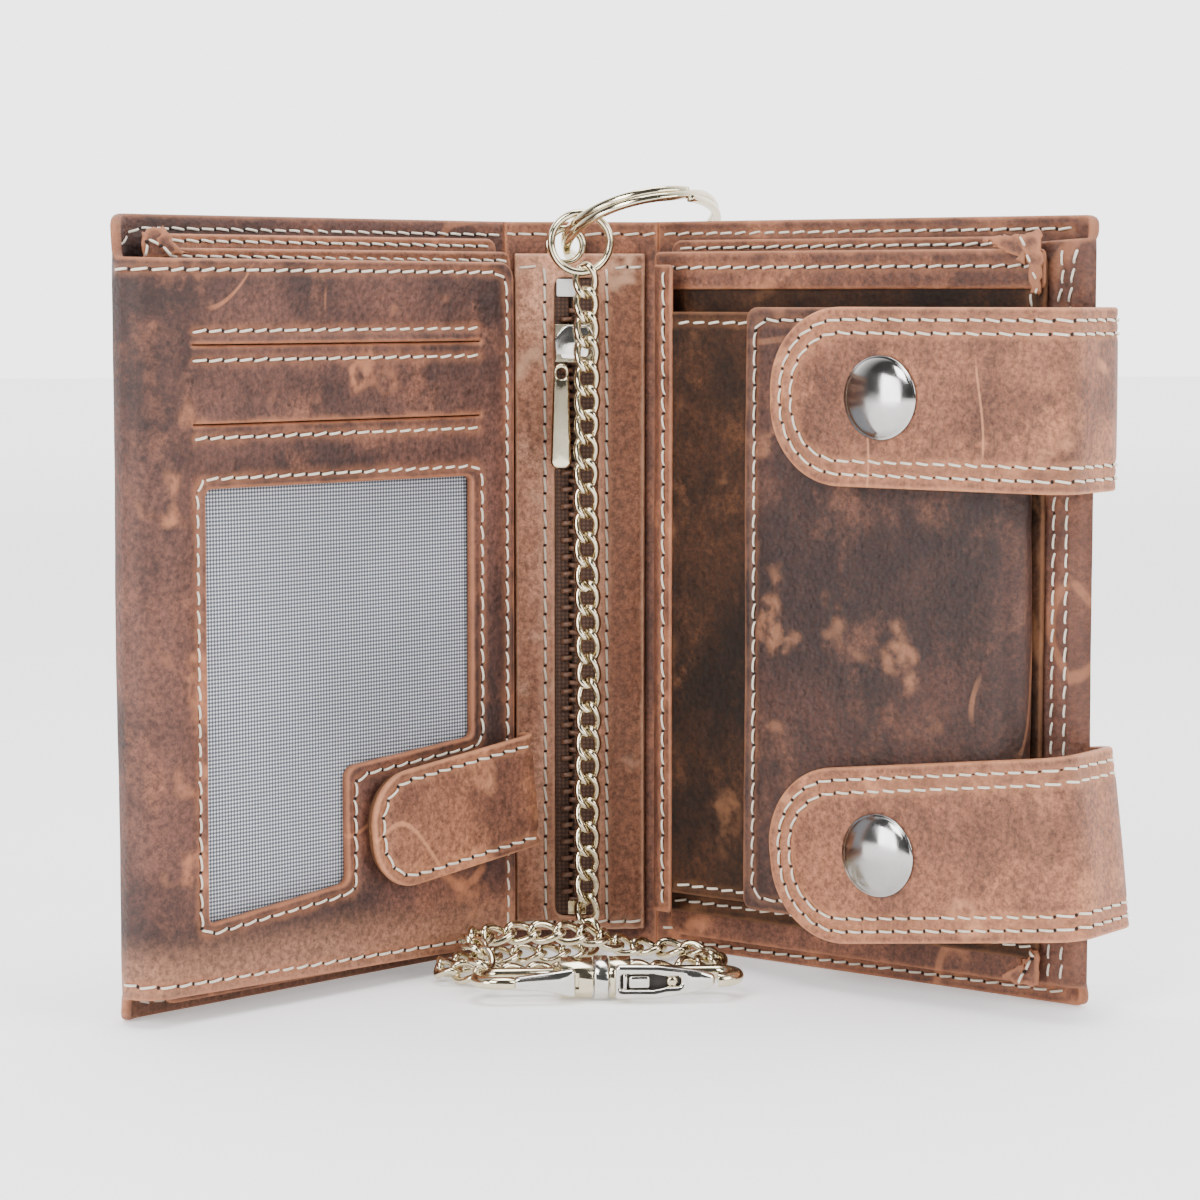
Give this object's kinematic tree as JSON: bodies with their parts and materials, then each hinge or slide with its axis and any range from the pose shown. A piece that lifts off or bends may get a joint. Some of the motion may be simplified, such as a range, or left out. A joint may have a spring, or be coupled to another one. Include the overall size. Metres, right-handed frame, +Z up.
{
  "type": "chain wallet",
  "caption": "Tall leather wallet standing open like a book, with a card panel, zip spine, coin pocket, two snap straps and a curb chain with a swivel snap hook.",
  "frame": {"origin": "middle of the spine leather's lower edge, on the surface that the standing wallet rests on", "axes": "+Z up along the spine, -Y towards the open side, +X to the right across the open covers"},
  "size_m": [0.1581, 0.085, 0.131],
  "materials": {
    "hide": "distressed waxed brown hide",
    "dark_hide": "darker waxed hide",
    "cloth_lining": "plain woven lining",
    "window_mesh": "grey woven nylon mesh",
    "zip_coil": "brown nylon coil",
    "zip_stop": "pale metal",
    "nickel": "polished nickel plate",
    "bright_nickel": "bright nickel plate"
  },
  "bodies": {
    "spine": {"spine_cover": "hide", "zip_panel": "hide", "zip_pouch": "cloth_lining", "zip_tapes": "cloth_lining", "zip_coils": "zip_coil", "zip_top_stop": "zip_stop", "zip_bottom_stop": "zip_stop", "eyelet": "nickel"},
    "key_ring": {"split_ring": "nickel"},
    "jump_ring": {"small_ring": "nickel"},
    "slider": {"zip_slider": "nickel"},
    "pull": {"zip_pull": "nickel"},
    "left_fold_band": {"left_fold": "hide"},
    "right_fold_band": {"right_fold": "hide"},
    "left_cover": {"left_outer_cover": "hide", "left_divider": "hide", "left_inner_panel": "hide", "strap_studs": "nickel", "id_panel_front": "hide", "id_panel_back": "dark_hide", "id_window_mesh": "window_mesh", "card_pocket_upper": "cloth_lining", "card_pocket_lower": "cloth_lining", "tab_stud": "nickel"},
    "tab": {"tab_front": "hide", "tab_back": "dark_hide", "tab_socket": "nickel"},
    "right_cover": {"right_outer_cover": "hide", "right_fore_hem": "hide", "right_divider": "hide", "right_base_panel": "dark_hide", "coin_pocket_front": "dark_hide", "coin_gusset": "dark_hide", "coin_flap_wall": "dark_hide", "upper_strap_anchor": "hide", "lower_strap_anchor": "hide"},
    "flap": {"coin_flap": "hide", "coin_flap_lining": "dark_hide"},
    "strap_upper": {"upper_strap": "hide", "upper_strap_lining": "dark_hide", "upper_snap_cap": "bright_nickel", "upper_snap_socket": "nickel"},
    "strap_lower": {"lower_strap": "hide", "lower_strap_lining": "dark_hide", "lower_snap_cap": "bright_nickel", "lower_snap_socket": "nickel"},
    "hanging_chain": {"chain_drop": "nickel"},
    "chain_end": {"chain_pile": "nickel", "hook_eye": "bright_nickel", "hook_swivel_pin": "bright_nickel", "gate_rivet": "bright_nickel"},
    "eye_gate": {"hook_eye_gate": "bright_nickel"},
    "collar": {"hook_collar": "bright_nickel"},
    "snap": {"hook_body": "bright_nickel", "lever_rivet": "bright_nickel"},
    "snap_lever": {"hook_lever": "bright_nickel"}
  },
  "joints": [
    {"name": "chain_swing", "type": "hinge", "parent": "spine", "child": "hanging_chain", "pos_m": [0.0004, -0.0062, 0.1158], "axis": [-1, 0, 0], "range_deg": [0, 81]},
    {"name": "chain_end_swing", "type": "hinge", "parent": "hanging_chain", "child": "chain_end", "pos_m": [0.0005, -0.008, 0.0046], "axis": [-1, 0, 0], "range_deg": [-81, 0]},
    {"name": "left_close", "type": "hinge", "parent": "spine", "child": "left_fold_band", "pos_m": [-0.012, 0, 0.06], "axis": [0, 0, 1], "range_deg": [0, 40.5]},
    {"name": "right_close", "type": "hinge", "parent": "spine", "child": "right_fold_band", "pos_m": [0.012, 0, 0.06], "axis": [0, 0, -1], "range_deg": [0, 40.5]},
    {"name": "left_open", "type": "hinge", "parent": "left_fold_band", "child": "left_cover", "pos_m": [-0.015, -0.00265, 0.06], "axis": [0, 0, -1], "range_deg": [0, 41.5]},
    {"name": "right_open", "type": "hinge", "parent": "right_fold_band", "child": "right_cover", "pos_m": [0.015, -0.00265, 0.06], "axis": [0, 0, 1], "range_deg": [0, 41.5]},
    {"name": "tab_lift", "type": "hinge", "parent": "left_cover", "child": "tab", "pos_m": [-0.01118, -0.01209, 0.0294], "axis": [0, 0, 1], "range_deg": [0, 110]},
    {"name": "straps_open", "type": "hinge", "parent": "right_cover", "child": "strap_lower", "pos_m": [0.0764, -0.05398, 0.02674], "axis": [-0.0913, 0.0808, 0.9925], "range_deg": [0, 100]},
    {"name": "upper_strap_open", "type": "hinge", "parent": "right_cover", "child": "strap_upper", "pos_m": [0.0764, -0.05398, 0.0964], "axis": [0, 0, 1], "range_deg": [0, 100]},
    {"name": "flap_open", "type": "hinge", "parent": "right_cover", "child": "flap", "pos_m": [0.06589, -0.06223, 0.06], "axis": [0, 0, 1], "range_deg": [0, 90]},
    {"name": "zip_slide", "type": "slide", "parent": "spine", "child": "slider", "axis": [0, 0, -1], "range_m": [0, 0.056]},
    {"name": "pull_lift", "type": "hinge", "parent": "slider", "child": "pull", "pos_m": [-0.00375, -0.00605, 0.0996], "axis": [-1, 0, 0], "range_deg": [0, 100]},
    {"name": "key_ring_turn", "type": "hinge", "parent": "spine", "child": "key_ring", "pos_m": [0.01031, 0, 0.12364], "axis": [0.1899, -0.4067, -0.8936], "continuous": true},
    {"name": "jump_ring_turn", "type": "hinge", "parent": "spine", "child": "jump_ring", "pos_m": [-0.0004, -0.0058, 0.1214], "axis": [0, 1, 0], "continuous": true},
    {"name": "eye_gate_press", "type": "hinge", "parent": "chain_end", "child": "eye_gate", "pos_m": [-0.0049, -0.0494, 0.0036], "axis": [0, 0, -1], "range_deg": [0, 20], "stiffness_Nm_per_rad": 0.004, "springref_deg": -17.19},
    {"name": "collar_spin", "type": "hinge", "parent": "chain_end", "child": "collar", "pos_m": [0, -0.046, 0.0036], "axis": [1, 0, 0], "continuous": true},
    {"name": "snap_swivel", "type": "hinge", "parent": "chain_end", "child": "snap", "pos_m": [0.003, -0.046, 0.0036], "axis": [1, 0, 0], "continuous": true},
    {"name": "snap_lever_press", "type": "hinge", "parent": "snap", "child": "snap_lever", "pos_m": [0.0037, -0.0495, 0.0036], "axis": [0, 0, 1], "range_deg": [0, 18], "stiffness_Nm_per_rad": 0.004, "springref_deg": -17.19}
  ],
  "couplings": [
    {"joint": "right_close", "follows": "left_close", "ratio": 1},
    {"joint": "chain_swing", "follows": "left_close", "ratio": 2},
    {"joint": "chain_end_swing", "follows": "left_close", "ratio": -2},
    {"joint": "upper_strap_open", "follows": "straps_open", "ratio": 1},
    {"joint": "flap_open", "follows": "straps_open", "ratio": 0.9}
  ]
}
